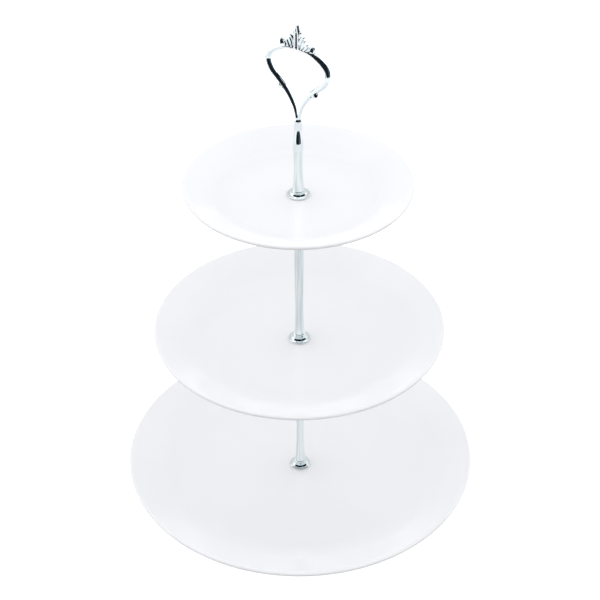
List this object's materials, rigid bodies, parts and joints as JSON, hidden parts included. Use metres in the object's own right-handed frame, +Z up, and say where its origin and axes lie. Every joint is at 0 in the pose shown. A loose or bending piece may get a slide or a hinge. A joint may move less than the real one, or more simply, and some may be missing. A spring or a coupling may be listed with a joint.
{
  "type": "tiered cake stand",
  "caption": "Tiered cake stand: round porcelain coupe plates clamped on a turned chrome stem that ends in a crown-shaped loop handle.",
  "frame": {"origin": "centre of the bottom plate's foot ring, on the table", "axes": "+Z up the stem; the handle's loop lies in the XZ plane"},
  "size_m": [0.254, 0.254, 0.371],
  "materials": {
    "porcelain": "glazed",
    "chrome": "polished",
    "gasket": "matte",
    "stud_steel": "satin"
  },
  "bodies": {
    "bottom_plate": {"plate_bottom": "porcelain"},
    "stem": {"base_screw": "chrome", "rod_lower": "chrome", "rod_middle": "chrome", "stud_middle": "stud_steel", "gasket_below_bottom": "gasket", "gasket_above_bottom": "gasket", "gasket_below_middle": "gasket", "gasket_above_middle": "gasket", "gasket_below_top": "gasket", "gasket_above_top": "gasket", "washer_above_bottom": "chrome", "washer_below_middle": "chrome", "washer_above_middle": "chrome", "washer_below_top": "chrome", "washer_above_top": "chrome"},
    "middle_plate": {"plate_middle": "porcelain"},
    "top_plate": {"plate_top": "porcelain"},
    "top_stud": {"stud_top": "stud_steel"},
    "handle": {"handle_crown": "chrome", "stud_handle": "stud_steel", "rod_upper": "chrome"}
  },
  "joints": [
    {"name": "stem_turn", "type": "hinge", "parent": "bottom_plate", "child": "stem", "pos_m": [0, 0, 0], "axis": [0, 0, 1], "continuous": true},
    {"name": "middle_plate_turn", "type": "hinge", "parent": "stem", "child": "middle_plate", "pos_m": [0, 0, 0], "axis": [0, 0, 1], "continuous": true},
    {"name": "top_plate_turn", "type": "hinge", "parent": "stem", "child": "top_plate", "pos_m": [0, 0, 0], "axis": [0, 0, 1], "continuous": true},
    {"name": "handle_lift", "type": "slide", "parent": "stem", "child": "top_stud", "axis": [0, 0, 1], "range_m": [0, 0.007]},
    {"name": "handle_unscrew", "type": "hinge", "parent": "top_stud", "child": "handle", "pos_m": [0, 0, 0.2507], "axis": [0, 0, 1], "range_deg": [0, 3600.1]}
  ],
  "couplings": [
    {"joint": "handle_unscrew", "follows": "handle_lift", "rad_per_m": 8976}
  ]
}
